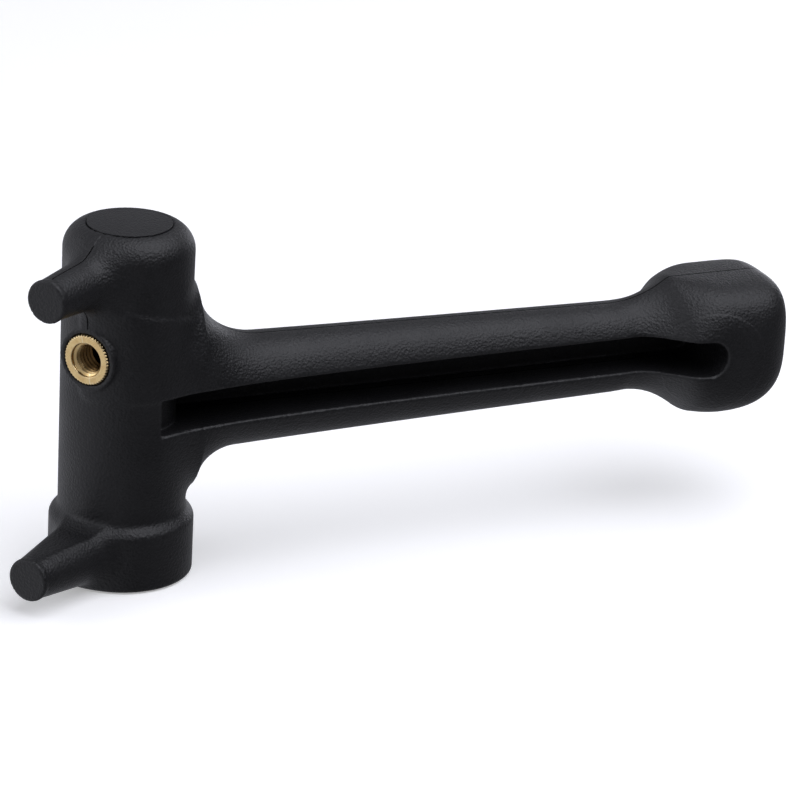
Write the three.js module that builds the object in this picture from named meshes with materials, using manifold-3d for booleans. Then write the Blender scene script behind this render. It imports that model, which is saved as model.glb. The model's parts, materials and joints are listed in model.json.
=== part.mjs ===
// Turning handle of a hinged cab window, with its pivot.
// Millimetres, +Z up along the hub's axis, +X along the arm. The origin is on the hub's axis,
// in the flat face of the spindle's foot.

import * as THREE from 'three';
import { mergeVertices } from 'three/addons/utils/BufferGeometryUtils.js';
import Module from 'manifold-3d';

const wasm = await Module();
wasm.setup();

// Hub: a slightly tapered post with a wider collar at its foot.
const HUB_HEIGHT = 88.7;
const HUB_FOOT_RADIUS = 15.4;
const HUB_TOP_RADIUS = 15.8;
const HUB_SHOULDER_RADIUS = 6.4;
const COLLAR_BOTTOM = 0.3;
const COLLAR_RADIUS = 17.6;
const COLLAR_HEIGHT = 16;
const COLLAR_SHOULDER = 2.4;
const COLLAR_EDGE = 0.8;
const COLLAR_FILLET = 0.6;

// Arm and knob: one loft of superellipse sections along +X.
const ARM_AXIS_Z = 43.5;
const ARM_START_X = 10;
const ARM_ROOT_X = 16;
const ARM_ROOT_HALF_HEIGHT = 14;
const ARM_NECK_X = 129;
const ARM_NECK_HALF_HEIGHT = 11.7;
const ARM_THIN_HALF_WIDTH = 9.2;
const ARM_EXTRA_HALF_WIDTH = 6.2;
const ARM_WIDTH_DECAY = 35;
const ARM_SQUARENESS = 2.2;
const NECK_RADIUS = 26.7;
const NECK_BLEND = 0.8;
const NECK_SIDE_START_X = 133.5;
const NECK_SIDE_END_X = 147.5;
const NECK_KEEL_X = 142.5;
const NECK_SQUARENESS = 1.5;
const KNOB_FULL_X = 157;
const KNOB_PLAN_ROUND_X = 162;
const KNOB_END_X = 176.3;
const KNOB_HALF_WIDTH = 17.6;
const KNOB_PLAN_SQUARENESS = 2.7;
const KNOB_SQUARENESS = 3.3;

// The outline in side view, above and below the axis: the fillet into the hub, the start of the
// neck, the knob's height, and where and how squarely its end rounds off.
const UPPER_EDGE = { fillet: 18, neckStart: 128.7, knobHeight: 17.2, roundStart: 167, roundPower: 2.95 };
const LOWER_EDGE = { fillet: 10, neckStart: 131.6, knobHeight: 17.9, roundStart: 157, roundPower: 2.4 };

// Slot: the moulding is cored from the side that faces the window.
const SLOT_WIDTH = 9;
const SLOT_START_X = 4;
const SLOT_END_X = 155;
const SLOT_AXIS_Z = ARM_AXIS_Z + 0.4;
const SLOT_FLOOR_Y = 3;
const SLOT_HUB_WALL_RADIUS = 12.4;

// Pegs and threaded insert, all square to the hub in one vertical plane.
const PEG_ANGLE = THREE.MathUtils.degToRad(-145);
const PEG_UPPER_Z = 78;
const PEG_UPPER_REACH = 33.4;
const PEG_LOWER_Z = 9.5;
const PEG_LOWER_REACH = 38.4;
const PEG_TIP_RADIUS = 5.3;
const PEG_BASE_RADIUS = 6.6;
const PEG_BASE_FLARE = 1.8;
const PEG_FLARE_LENGTH = 4;
const PEG_EDGE = 0.5;
const BOSS_RADIUS = 8.6;
const BOSS_FACE = 16.3;
const BOSS_CHAMFER = 1.2;
const INSERT_Z = 58.6;
const INSERT_RADIUS = 6.3;
const INSERT_FACE = 16.6;
const INSERT_LENGTH = 8;
const INSERT_THREAD_RADIUS = 3.6;
const INSERT_MOUTH_RADIUS = 4.3;
const INSERT_MOUTH_DEPTH = 0.9;
const INSERT_RIM_CHAMFER = 0.25;

// Pivot inside the hub.
const BORE_RADIUS = 8.3;
const CAP_RADIUS = 10.2;
const CAP_THICKNESS = 2.6;
const BUSH_OUTER_RADIUS = 8.2;
const BUSH_INNER_RADIUS = 6.08;
const BUSH_FLANGE_RADIUS = 12;
const LOWER_BUSH_BOTTOM = 2.9;
const BUSH_FLANGE_TOP = 4.4;
const LOWER_BUSH_TOP = 21;
const UPPER_BUSH_BOTTOM = 66;
const UPPER_BUSH_TOP = 80;
const SPINDLE_RADIUS = 6;
const SPINDLE_TOP = 85;
const SPINDLE_CHAMFER = 0.8;
const FOOT_RADIUS = 11.4;
const FOOT_TOP = 2;
const FOOT_CHAMFER = 0.4;
const GROOVE_RADIUS = 5.2;
const GROOVE_BOTTOM = 81.7;
const GROOVE_TOP = 82.9;
const WASHER_RADIUS = 7.9;
const TOP_WASHER_BOTTOM = 80.1;
const TOP_WASHER_TOP = 81.1;
const FOOT_WASHER_RADIUS = 11;
const FOOT_WASHER_BOTTOM = 2.1;
const FOOT_WASHER_TOP = 2.8;
const RING_INNER_RADIUS = 5.3;
const RING_OUTER_RADIUS = 7.6;
const RING_GAP_ANGLE = THREE.MathUtils.degToRad(70);
const RING_BOTTOM = 81.8;
const RING_THICKNESS = 1;

const FIT_GAP = 0.1;
const OVERCUT = 5;
const FAR_OUT = 60;
const SEGMENTS = 48;
const PEG_SEGMENTS = 24;
const ARM_SEGMENTS = 32;
const FLARE_STATIONS = 8;
const ARM_STATIONS = 3;
const NECK_STATIONS = 16;
const END_STATIONS = 14;
const KNOB_END_TURN = 0.15;
const KNOB_END_CUT = 0.02;
const CORNER_STEPS = 4;
const CROWN_STEPS = 7;
const MERGE_TOLERANCE = 1e-4;

const blackNylon = new THREE.MeshStandardMaterial({ color: 0x1b1b1e, roughness: 0.6, metalness: 0 });
const capNylon = new THREE.MeshStandardMaterial({ color: 0x1e1e21, roughness: 0.55, metalness: 0 });
const brass = new THREE.MeshStandardMaterial({ color: 0xc9a45c, roughness: 0.3, metalness: 1 });
const steel = new THREE.MeshStandardMaterial({ color: 0x9a9da1, roughness: 0.35, metalness: 1 });
const bearingPlastic = new THREE.MeshStandardMaterial({ color: 0xb9b3a2, roughness: 0.5, metalness: 0 });
const springSteel = new THREE.MeshStandardMaterial({ color: 0x3a3b3e, roughness: 0.4, metalness: 1 });

// A closed geometry, with its shared vertices merged, as a solid for joining and cutting.
function toSolid(geometry) {
  const bare = geometry.clone();
  bare.deleteAttribute('normal');
  bare.deleteAttribute('uv');
  const merged = mergeVertices(bare, MERGE_TOLERANCE);
  return new wasm.Manifold(new wasm.Mesh({
    numProp: 3,
    vertProperties: new Float32Array(merged.attributes.position.array),
    triVerts: new Uint32Array(merged.index.array),
  }));
}

function toGeometry(solid) {
  const mesh = solid.getMesh();
  const geometry = new THREE.BufferGeometry();
  geometry.setAttribute('position', new THREE.BufferAttribute(mesh.vertProperties, 3));
  geometry.setIndex(new THREE.BufferAttribute(mesh.triVerts, 1));
  geometry.computeVertexNormals();
  return geometry;
}

function unite(solids) {
  return solids.reduce((whole, solid) => whole.add(solid));
}

function cut(solid, cutters) {
  return cutters.reduce((rest, cutter) => rest.subtract(cutter), solid);
}

// Turns [radius, height] points about +Z. The outline runs upwards on its outer side.
function turned(points, segments = SEGMENTS) {
  const outline = points.map(([radius, height]) => new THREE.Vector2(radius, height));
  return new THREE.LatheGeometry(outline, segments).rotateX(Math.PI / 2);
}

function rod(radius, bottom, top, segments = SEGMENTS) {
  return turned([[0, bottom], [radius, bottom], [radius, top], [0, top]], segments);
}

function tube(inner, outer, bottom, top) {
  return turned([[inner, bottom], [outer, bottom], [outer, top], [inner, top], [inner, bottom]]);
}

// Points of a quarter circle from angle a to angle b, in degrees, about a centre.
function arc(centreX, centreY, radius, a, b, steps) {
  const points = [];
  for (let i = 0; i <= steps; i += 1) {
    const angle = THREE.MathUtils.degToRad(a + (b - a) * i / steps);
    points.push([centreX + radius * Math.cos(angle), centreY + radius * Math.sin(angle)]);
  }
  return points;
}

// Lays a shape that was turned about +Z along the pegs' direction, at the given height.
function alongPegs(geometry, height) {
  return geometry.rotateY(Math.PI / 2).rotateZ(PEG_ANGLE).translate(0, 0, height);
}

function hubShape() {
  const shoulderStart = COLLAR_HEIGHT - COLLAR_SHOULDER;
  const crownBottom = HUB_HEIGHT - HUB_SHOULDER_RADIUS;
  const crownInset = HUB_TOP_RADIUS - HUB_SHOULDER_RADIUS;
  return turned([
    [0, COLLAR_BOTTOM],
    [COLLAR_RADIUS - COLLAR_EDGE, COLLAR_BOTTOM],
    [COLLAR_RADIUS, COLLAR_BOTTOM + COLLAR_EDGE],
    ...arc(COLLAR_RADIUS - COLLAR_SHOULDER, shoulderStart, COLLAR_SHOULDER, 0, 75, CORNER_STEPS),
    [HUB_FOOT_RADIUS, COLLAR_HEIGHT + COLLAR_FILLET],
    ...arc(crownInset, crownBottom, HUB_SHOULDER_RADIUS, 0, 90, CROWN_STEPS),
    [0, HUB_HEIGHT],
  ]);
}

function smoothMin(a, b, blend) {
  const near = Math.max(blend - Math.abs(a - b), 0) / blend;
  return Math.min(a, b) - near * near * blend / 4;
}

// How far a concave quarter round has risen after a run along its tangent.
function quarterRound(run, radius) {
  const along = THREE.MathUtils.clamp(run, 0, radius);
  return radius - Math.sqrt(radius ** 2 - along ** 2);
}

// The share of its full size that a rounded end keeps at a distance from where it starts.
function closing(distance, reach, squareness) {
  const along = THREE.MathUtils.clamp(distance / reach, 0, 1);
  return (1 - along ** squareness) ** (1 / squareness);
}

// Flares into the hub, tapers to the neck, widens to the knob, and ends rounded.
function halfHeight(x, edge) {
  const flare = quarterRound(ARM_ROOT_X + edge.fillet - x, edge.fillet);
  const t = (x - ARM_ROOT_X) / (ARM_NECK_X - ARM_ROOT_X);
  const taper = THREE.MathUtils.lerp(ARM_ROOT_HALF_HEIGHT, ARM_NECK_HALF_HEIGHT, t);
  const arm = taper + quarterRound(x - edge.neckStart, NECK_RADIUS);
  const share = closing(x - edge.roundStart, KNOB_END_X - edge.roundStart, edge.roundPower);
  return flare + smoothMin(arm, edge.knobHeight * share, NECK_BLEND);
}

// Thins along the arm and swells in a soft S into the knob, which is round in plan at its end.
function halfWidth(x) {
  const arm = ARM_THIN_HALF_WIDTH + ARM_EXTRA_HALF_WIDTH * Math.exp(-x / ARM_WIDTH_DECAY);
  const swell = THREE.MathUtils.smoothstep(x, NECK_SIDE_START_X, NECK_SIDE_END_X);
  const reach = KNOB_END_X - KNOB_PLAN_ROUND_X;
  const share = closing(x - KNOB_PLAN_ROUND_X, reach, KNOB_PLAN_SQUARENESS);
  return THREE.MathUtils.lerp(arm, KNOB_HALF_WIDTH, swell) * share;
}

// The arm is nearly oval, the neck has a keel above and below, and the knob is squarer.
function squareness(x) {
  const keel = THREE.MathUtils.smoothstep(x, UPPER_EDGE.neckStart, NECK_KEEL_X);
  const full = THREE.MathUtils.smoothstep(x, NECK_KEEL_X, KNOB_FULL_X);
  const neck = THREE.MathUtils.lerp(ARM_SQUARENESS, NECK_SQUARENESS, keel);
  return THREE.MathUtils.lerp(neck, KNOB_SQUARENESS, full);
}

// One section of the loft at x: its heights above and below the axis, half width and squareness.
function section(x) {
  return {
    above: halfHeight(x, UPPER_EDGE),
    below: halfHeight(x, LOWER_EDGE),
    width: halfWidth(x),
    power: squareness(x),
  };
}

function signedPower(value, power) {
  return Math.sign(value) * Math.abs(value) ** power;
}

function spread(from, to, count) {
  return Array.from({ length: count }, (_, i) => THREE.MathUtils.lerp(from, to, i / count));
}

// Stations along the arm: close together where its outline curves.
function armStations() {
  const flareEnd = ARM_ROOT_X + UPPER_EDGE.fillet;
  const neckStart = UPPER_EDGE.neckStart;
  const roundStart = LOWER_EDGE.roundStart;
  const flare = spread(0, Math.PI / 2, FLARE_STATIONS);
  const end = spread(0, Math.PI / 2 - KNOB_END_TURN, END_STATIONS);
  return [
    ...flare.map((turn) => THREE.MathUtils.lerp(ARM_START_X, flareEnd, Math.sin(turn))),
    ...spread(flareEnd, neckStart, ARM_STATIONS),
    ...spread(neckStart, roundStart, NECK_STATIONS),
    ...end.map((turn) => THREE.MathUtils.lerp(roundStart, KNOB_END_X, Math.sin(turn))),
    KNOB_END_X,
  ];
}

function armShape() {
  const stations = armStations();
  const rows = stations.length - 1;
  const geometry = new THREE.CylinderGeometry(1, 1, 1, ARM_SEGMENTS, rows);
  const position = geometry.attributes.position;
  for (let i = 0; i < position.count; i += 1) {
    const x = stations[Math.round((0.5 - position.getY(i)) * rows)];
    const { above, below, width, power } = section(Math.min(x, KNOB_END_X - KNOB_END_CUT));
    const y = width * signedPower(position.getX(i), 2 / power);
    const rise = signedPower(-position.getZ(i), 2 / power);
    position.setXYZ(i, x, -y, ARM_AXIS_Z + rise * (rise > 0 ? above : below));
  }
  return geometry;
}

function pegShape(reach, height) {
  const outline = [
    [0, 0],
    [PEG_BASE_RADIUS + PEG_BASE_FLARE, 0],
    [PEG_BASE_RADIUS + PEG_BASE_FLARE, HUB_FOOT_RADIUS - PEG_FLARE_LENGTH / 4],
    [PEG_BASE_RADIUS + PEG_BASE_FLARE / 3, HUB_FOOT_RADIUS + PEG_FLARE_LENGTH / 3],
    [PEG_BASE_RADIUS, HUB_FOOT_RADIUS + PEG_FLARE_LENGTH],
    [PEG_TIP_RADIUS + PEG_EDGE / 8, reach - PEG_EDGE],
    [PEG_TIP_RADIUS - PEG_EDGE, reach],
    [0, reach],
  ];
  return alongPegs(turned(outline, PEG_SEGMENTS), height);
}

function bossShape() {
  const outline = [
    [0, 0],
    [BOSS_RADIUS + BOSS_CHAMFER, 0],
    [BOSS_RADIUS + BOSS_CHAMFER, HUB_FOOT_RADIUS - 3],
    [BOSS_RADIUS, BOSS_FACE - BOSS_CHAMFER / 2],
    [BOSS_RADIUS - BOSS_CHAMFER, BOSS_FACE],
    [0, BOSS_FACE],
  ];
  return alongPegs(turned(outline, PEG_SEGMENTS), INSERT_Z);
}

function slotCutter() {
  const half = SLOT_WIDTH / 2;
  const outline = new THREE.Shape();
  outline.moveTo(SLOT_START_X, -half);
  outline.lineTo(SLOT_END_X - half, -half);
  outline.absarc(SLOT_END_X - half, 0, half, -Math.PI / 2, Math.PI / 2, false);
  outline.lineTo(SLOT_START_X, half);
  outline.closePath();
  const depth = SLOT_FLOOR_Y + FAR_OUT;
  const block = new THREE.ExtrudeGeometry(outline, { depth, bevelEnabled: false, curveSegments: 12 });
  block.rotateX(Math.PI / 2).translate(0, SLOT_FLOOR_Y, SLOT_AXIS_Z);
  return toSolid(block).subtract(toSolid(rod(SLOT_HUB_WALL_RADIUS, 0, HUB_HEIGHT)));
}

function handleBody() {
  const whole = unite([
    toSolid(hubShape()),
    toSolid(armShape()),
    toSolid(pegShape(PEG_UPPER_REACH, PEG_UPPER_Z)),
    toSolid(pegShape(PEG_LOWER_REACH, PEG_LOWER_Z)),
    toSolid(bossShape()),
  ]);
  return toGeometry(cut(whole, [
    slotCutter(),
    toSolid(rod(BORE_RADIUS, -OVERCUT, HUB_HEIGHT)),
    toSolid(rod(BUSH_FLANGE_RADIUS + FIT_GAP, -OVERCUT, BUSH_FLANGE_TOP + FIT_GAP)),
    toSolid(rod(CAP_RADIUS + FIT_GAP, HUB_HEIGHT - CAP_THICKNESS - FIT_GAP, HUB_HEIGHT + OVERCUT)),
    toSolid(alongPegs(rod(INSERT_RADIUS + FIT_GAP, 0, HUB_TOP_RADIUS + OVERCUT), INSERT_Z)),
  ]));
}

function hubCap() {
  const edge = 0.25;
  return turned([
    [0, HUB_HEIGHT - CAP_THICKNESS],
    [CAP_RADIUS, HUB_HEIGHT - CAP_THICKNESS],
    [CAP_RADIUS, HUB_HEIGHT - edge],
    [CAP_RADIUS - edge, HUB_HEIGHT],
    [0, HUB_HEIGHT],
  ]);
}

function threadedInsert() {
  const back = INSERT_FACE - INSERT_LENGTH;
  const outline = [
    [INSERT_THREAD_RADIUS, back],
    [INSERT_RADIUS - INSERT_RIM_CHAMFER, back],
    [INSERT_RADIUS, back + INSERT_RIM_CHAMFER],
    [INSERT_RADIUS, INSERT_FACE - INSERT_RIM_CHAMFER],
    [INSERT_RADIUS - INSERT_RIM_CHAMFER, INSERT_FACE],
    [INSERT_MOUTH_RADIUS, INSERT_FACE],
    [INSERT_THREAD_RADIUS, INSERT_FACE - INSERT_MOUTH_DEPTH],
    [INSERT_THREAD_RADIUS, back],
  ];
  return alongPegs(turned(outline), INSERT_Z);
}

function lowerBush() {
  return turned([
    [BUSH_INNER_RADIUS, LOWER_BUSH_BOTTOM],
    [BUSH_FLANGE_RADIUS, LOWER_BUSH_BOTTOM],
    [BUSH_FLANGE_RADIUS, BUSH_FLANGE_TOP],
    [BUSH_OUTER_RADIUS, BUSH_FLANGE_TOP],
    [BUSH_OUTER_RADIUS, LOWER_BUSH_TOP],
    [BUSH_INNER_RADIUS, LOWER_BUSH_TOP],
    [BUSH_INNER_RADIUS, LOWER_BUSH_BOTTOM],
  ]);
}

function pivotSpindle() {
  return turned([
    [0, 0],
    [FOOT_RADIUS - FOOT_CHAMFER, 0],
    [FOOT_RADIUS, FOOT_CHAMFER],
    [FOOT_RADIUS, FOOT_TOP],
    [SPINDLE_RADIUS, FOOT_TOP],
    [SPINDLE_RADIUS, GROOVE_BOTTOM],
    [GROOVE_RADIUS, GROOVE_BOTTOM],
    [GROOVE_RADIUS, GROOVE_TOP],
    [SPINDLE_RADIUS, GROOVE_TOP],
    [SPINDLE_RADIUS, SPINDLE_TOP - SPINDLE_CHAMFER],
    [SPINDLE_RADIUS - SPINDLE_CHAMFER, SPINDLE_TOP],
    [0, SPINDLE_TOP],
  ]);
}

function retainingRing() {
  const start = RING_GAP_ANGLE / 2;
  const end = 2 * Math.PI - start;
  const outline = new THREE.Shape();
  outline.absarc(0, 0, RING_OUTER_RADIUS, start, end, false);
  outline.absarc(0, 0, RING_INNER_RADIUS, end, start, true);
  outline.closePath();
  const flat = { depth: RING_THICKNESS, bevelEnabled: false, curveSegments: 40 };
  return new THREE.ExtrudeGeometry(outline, flat).translate(0, 0, RING_BOTTOM);
}

const pieces = {
  handle_body: [handleBody(), blackNylon],
  hub_cap: [hubCap(), capNylon],
  threaded_insert: [threadedInsert(), brass],
  lower_bush: [lowerBush(), bearingPlastic],
  upper_bush: [tube(BUSH_INNER_RADIUS, BUSH_OUTER_RADIUS, UPPER_BUSH_BOTTOM, UPPER_BUSH_TOP), bearingPlastic],
  foot_washer: [
    tube(BUSH_INNER_RADIUS, FOOT_WASHER_RADIUS, FOOT_WASHER_BOTTOM, FOOT_WASHER_TOP),
    bearingPlastic,
  ],
  top_washer: [tube(BUSH_INNER_RADIUS, WASHER_RADIUS, TOP_WASHER_BOTTOM, TOP_WASHER_TOP), steel],
  pivot_spindle: [pivotSpindle(), steel],
  retaining_ring: [retainingRing(), springSteel],
};

const handle = new THREE.Group();
for (const [name, [geometry, material]] of Object.entries(pieces)) {
  const mesh = new THREE.Mesh(geometry, material);
  mesh.name = name;
  handle.add(mesh);
}

export default handle;
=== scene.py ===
"""Looks of the turning handle of a hinged cab window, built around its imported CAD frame.

Shapes are worked out in millimetres in the row frame: +Z along the hub, +X along the arm.
"""

import json
import math

import bmesh
import bpy
import numpy as np
from mathutils import Matrix, Vector


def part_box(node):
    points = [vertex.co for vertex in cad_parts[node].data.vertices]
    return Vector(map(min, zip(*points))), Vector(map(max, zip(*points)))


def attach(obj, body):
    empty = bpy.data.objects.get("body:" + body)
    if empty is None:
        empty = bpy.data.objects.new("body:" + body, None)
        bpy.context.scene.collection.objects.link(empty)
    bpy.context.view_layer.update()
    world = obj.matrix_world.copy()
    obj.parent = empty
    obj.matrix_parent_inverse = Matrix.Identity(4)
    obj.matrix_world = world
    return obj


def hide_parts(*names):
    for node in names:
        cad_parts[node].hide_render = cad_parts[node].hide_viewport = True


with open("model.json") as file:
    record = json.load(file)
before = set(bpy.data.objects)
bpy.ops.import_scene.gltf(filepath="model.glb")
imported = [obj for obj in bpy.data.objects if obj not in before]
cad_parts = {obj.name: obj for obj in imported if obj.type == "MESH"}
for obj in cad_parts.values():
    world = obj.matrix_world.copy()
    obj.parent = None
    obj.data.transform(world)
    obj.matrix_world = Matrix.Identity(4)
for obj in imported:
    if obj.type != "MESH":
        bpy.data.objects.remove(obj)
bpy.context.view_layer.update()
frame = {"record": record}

MM = 0.001


def box_mm(node):
    low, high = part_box(node)
    return np.array(low) / MM, np.array(high) / MM


def mount(name):
    return next(m for m in frame["record"]["mounts"] if m["name"] == name)


# ---------------------------------------------------------------- sizes

BODY_LOW, BODY_HIGH = box_mm("handle_body")
CAP_LOW, CAP_HIGH = box_mm("hub_cap")
INSERT_LOW, INSERT_HIGH = box_mm("threaded_insert")
SPINDLE_LOW, SPINDLE_HIGH = box_mm("pivot_spindle")

HUB_HEIGHT = BODY_HIGH[2]
COLLAR_BOTTOM = BODY_LOW[2]
HUB_FOOT_RADIUS = 15.4
HUB_TOP_RADIUS = 15.8
HUB_SHOULDER = 6.4
HUB_CORE_RADIUS = HUB_FOOT_RADIUS / 2
COLLAR_RADIUS = 17.6
COLLAR_HEIGHT = 16.0
COLLAR_SHOULDER = 2.4
COLLAR_EDGE = 0.8
COLLAR_FILLET = 1.8

ARM_AXIS_Z = 43.5
ARM_START_X = 6.0
ARM_ROOT_X = 16.0
ARM_ROOT_HALF_HEIGHT = 14.0
ARM_NECK_X = 129.0
ARM_NECK_HALF_HEIGHT = 11.7
ARM_THIN_HALF_WIDTH = 9.2
ARM_EXTRA_HALF_WIDTH = 6.2
ARM_WIDTH_DECAY = 35.0
ARM_SQUARENESS = 2.2
ARM_BLEND = 4.0
ROUND_LIMIT = 0.98

NECK_RADIUS = 26.7
NECK_BLEND = 0.8
NECK_SIDE_START_X = 133.5
NECK_SIDE_END_X = 147.5
NECK_KEEL_X = 142.5
NECK_SQUARENESS = 1.5
KNOB_FULL_X = 157.0
KNOB_PLAN_ROUND_X = 162.0
KNOB_END_X = BODY_HIGH[0]
KNOB_HALF_WIDTH = 17.6
KNOB_PLAN_SQUARENESS = 2.7
KNOB_SQUARENESS = 3.3
UPPER_EDGE = {
    "fillet": 18.0,
    "neck_start": 128.7,
    "knob_height": 17.2,
    "round_start": 167.0,
    "round_power": 2.95,
}
LOWER_EDGE = {
    "fillet": 10.5,
    "neck_start": 131.6,
    "knob_height": 17.9,
    "round_start": 157.0,
    "round_power": 2.4,
}
PAD_X = 152.5
PAD_RADIUS = 13.2
PAD_DROP = 1.2
PAD_STEP = 0.25
PAD_SLOPE = 0.3
PAD_SIDE_Y = -8.0

SLOT_WIDTH = 9.0
SLOT_START_X = 4.0
SLOT_END_X = 155.0
SLOT_RISE = 0.4
SLOT_FLOOR_Y = 3.0
SLOT_HUB_WALL_RADIUS = 12.4
SLOT_RIM = 0.9

PEG_DIRECTION = np.array(mount("insert_face")["axis"])
PEG_SIDEWAYS = np.array([-PEG_DIRECTION[1], PEG_DIRECTION[0], 0.0])
PEG_UPPER_Z = 78.0
PEG_UPPER_REACH = 33.4
PEG_LOWER_Z = 9.5
PEG_LOWER_REACH = 38.4
PEG_TIP_RADIUS = 5.3
PEG_UPPER_TAPER = 0.07
PEG_LOWER_TAPER = 0.14
PEG_EDGE = 0.6
PEG_UPPER_FILLET = 5.0
PEG_LOWER_FILLET = 3.0
PEG_LIP = 0.35
PEG_LIP_LENGTH = 1.6
FACET_RISE = 5.15
FACET_SLOPE = 0.035
FACET_EDGE = 0.4

INSERT_Z = (INSERT_LOW[2] + INSERT_HIGH[2]) / 2
INSERT_RADIUS = (INSERT_HIGH[2] - INSERT_LOW[2]) / 2
INSERT_FACE = float(np.dot(np.array(mount("insert_face")["pos_m"]) / MM, PEG_DIRECTION))
INSERT_LENGTH = 8.0
INSERT_HOLE_GAP = 0.1
LIP_RADIUS = 7.7
LIP_FACE = INSERT_FACE - 0.3
LIP_EDGE = 0.4
LIP_BLEND = 0.5
BAND_BELOW = 10.0
BAND_ABOVE = 14.5
BAND_FALL = 7.0
BAND_RADIUS = 15.9
BAND_EDGE = 1.0
BAND_END_EDGE = 4.0
BAND_BLEND = 1.5
BAND_LEFT = math.radians(-8)
BAND_RIGHT = math.radians(110)

BORE_RADIUS = 8.3
BORE_ABOVE_SEAT = 1.0
OPENING_EDGE = 0.25
CAP_RADIUS = CAP_HIGH[0]
CAP_SEAT = CAP_LOW[2]
CAP_EDGE = 0.15
FIT_GAP = 0.1
FLANGE_RADIUS = box_mm("lower_bush")[1][0]
FLANGE_TOP = 4.4
BUSH_INNER = 6.08
BUSH_OUTER = 8.2
BUSH_EDGE = 0.3
WASHER_EDGE = 0.12

FOOT_THICKNESS = 2.0
SHANK_RADIUS = 6.0
SHANK_FILLET = 0.3
SHANK_CHAMFER = 0.8
RING_GROOVE_RADIUS = 5.2
RING_GROOVE_LOW = 81.7
RING_GROOVE_HIGH = 82.9
SPINDLE_EDGE = 0.25
RING_INNER = 5.3
RING_HALF_GAP = math.radians(35)
RING_CORNER = 0.12
RING_TAPER = 0.35
RING_STEPS = 120

# The mould's parting lines: V grooves in the mesh, with painted shade in them from the material.
ARM_GROOVE = {"half_width": 0.18, "depth": 0.22}
PEG_GROOVE = {"half_width": 0.2, "depth": 0.28}
LINE_SHADE_HALF_WIDTH = 0.17
LINE_DROP = 2.0
LINE_END = 2.5
LINE_FROM_CAP = 0.6
LINE_FROM_LIP = 0.5

GRID = 0.5
RELAX_ROUNDS = 3
LONGEST_MOVE = 0.4


# ---------------------------------------------------------------- solid fields, negative inside


def smooth_min(a, b, blend):
    share = np.clip(0.5 + 0.5 * (b - a) / blend, 0, 1)
    return b * (1 - share) + a * share - blend * share * (1 - share)


def smooth_max(a, b, blend):
    return -smooth_min(-a, -b, blend)


def rounded_post(r, z, radius, low, high, edge):
    """A cylinder about Z whose rims are rounded."""
    across = r - (radius - edge)
    along = np.abs(z - (low + high) / 2) - ((high - low) / 2 - edge)
    outside = np.hypot(np.maximum(across, 0), np.maximum(along, 0))
    return outside + np.minimum(np.maximum(across, along), 0) - edge


def hub_field(r, z):
    radius = HUB_FOOT_RADIUS + (HUB_TOP_RADIUS - HUB_FOOT_RADIUS) * z / HUB_HEIGHT
    post = rounded_post(r, z, radius, -HUB_HEIGHT, HUB_HEIGHT, HUB_SHOULDER)
    collar = rounded_post(r, z, COLLAR_RADIUS, -COLLAR_HEIGHT, COLLAR_HEIGHT, COLLAR_SHOULDER)
    return smooth_min(post, collar, COLLAR_FILLET)


def signed_power(value, power):
    return np.sign(value) * np.abs(value) ** power


def soft_step(x, start, end):
    share = np.clip((x - start) / (end - start), 0, 1)
    return share * share * (3 - 2 * share)


def closing(distance, reach, squareness):
    """1 where a rounded end starts, 0 at its tip, and negative past it."""
    return 1 - (np.maximum(distance, 0) / reach) ** squareness


def quarter_round(run, radius):
    """How far a concave quarter round has risen after a run along its tangent."""
    along = np.clip(run, 0, ROUND_LIMIT * radius)
    return radius - np.sqrt(radius**2 - along**2)


def full_height(x, edge):
    """Half height of the arm and the knob, flared into the hub, without the knob's rounded end."""
    taper = (x - ARM_ROOT_X) / (ARM_NECK_X - ARM_ROOT_X)
    arm = ARM_ROOT_HALF_HEIGHT + taper * (ARM_NECK_HALF_HEIGHT - ARM_ROOT_HALF_HEIGHT)
    arm = arm + quarter_round(x - edge["neck_start"], NECK_RADIUS)
    flare = quarter_round(ARM_ROOT_X + edge["fillet"] - x, edge["fillet"])
    return smooth_min(arm, edge["knob_height"], NECK_BLEND) + flare


def full_width(x):
    """Half width of the arm and the knob, without the knob's rounded end."""
    arm = ARM_THIN_HALF_WIDTH + ARM_EXTRA_HALF_WIDTH * np.exp(-x / ARM_WIDTH_DECAY)
    return arm + (KNOB_HALF_WIDTH - arm) * soft_step(x, NECK_SIDE_START_X, NECK_SIDE_END_X)


def section_power(x):
    """Nearly oval along the arm, keeled above and below at the neck, squarer at the knob."""
    keel = soft_step(x, UPPER_EDGE["neck_start"], NECK_KEEL_X)
    neck = ARM_SQUARENESS + keel * (NECK_SQUARENESS - ARM_SQUARENESS)
    return neck + (KNOB_SQUARENESS - neck) * soft_step(x, NECK_KEEL_X, KNOB_FULL_X)


def arm_field(x, y, z):
    """The arm and knob: superellipse sections along X that close in a rounded end."""
    rise = z - ARM_AXIS_Z
    near = np.maximum(x, ARM_START_X)
    power = section_power(near)
    edge = {key: np.where(rise > 0, UPPER_EDGE[key], LOWER_EDGE[key]) for key in UPPER_EDGE}
    round_reach = KNOB_END_X - edge["round_start"]
    round_left = closing(x - edge["round_start"], round_reach, edge["round_power"])
    plan_reach = KNOB_END_X - KNOB_PLAN_ROUND_X
    plan_left = closing(x - KNOB_PLAN_ROUND_X, plan_reach, KNOB_PLAN_SQUARENESS)
    height_share = np.maximum(round_left, 0.01) ** (power / edge["round_power"])
    width_share = np.maximum(plan_left, 0.01) ** (power / KNOB_PLAN_SQUARENESS)
    gauge = np.abs(rise / full_height(near, edge)) ** power
    gauge += np.abs(y / full_width(near)) ** power * height_share / width_share
    gauge += 1 - signed_power(round_left, power / edge["round_power"])
    beyond = np.maximum(x - KNOB_PLAN_ROUND_X, 0)
    reach = np.sqrt(beyond**2 + y**2 + rise**2) + 1e-9
    return np.maximum(reach - reach / np.maximum(gauge, 1e-4) ** (1 / power), ARM_START_X - x)


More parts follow.
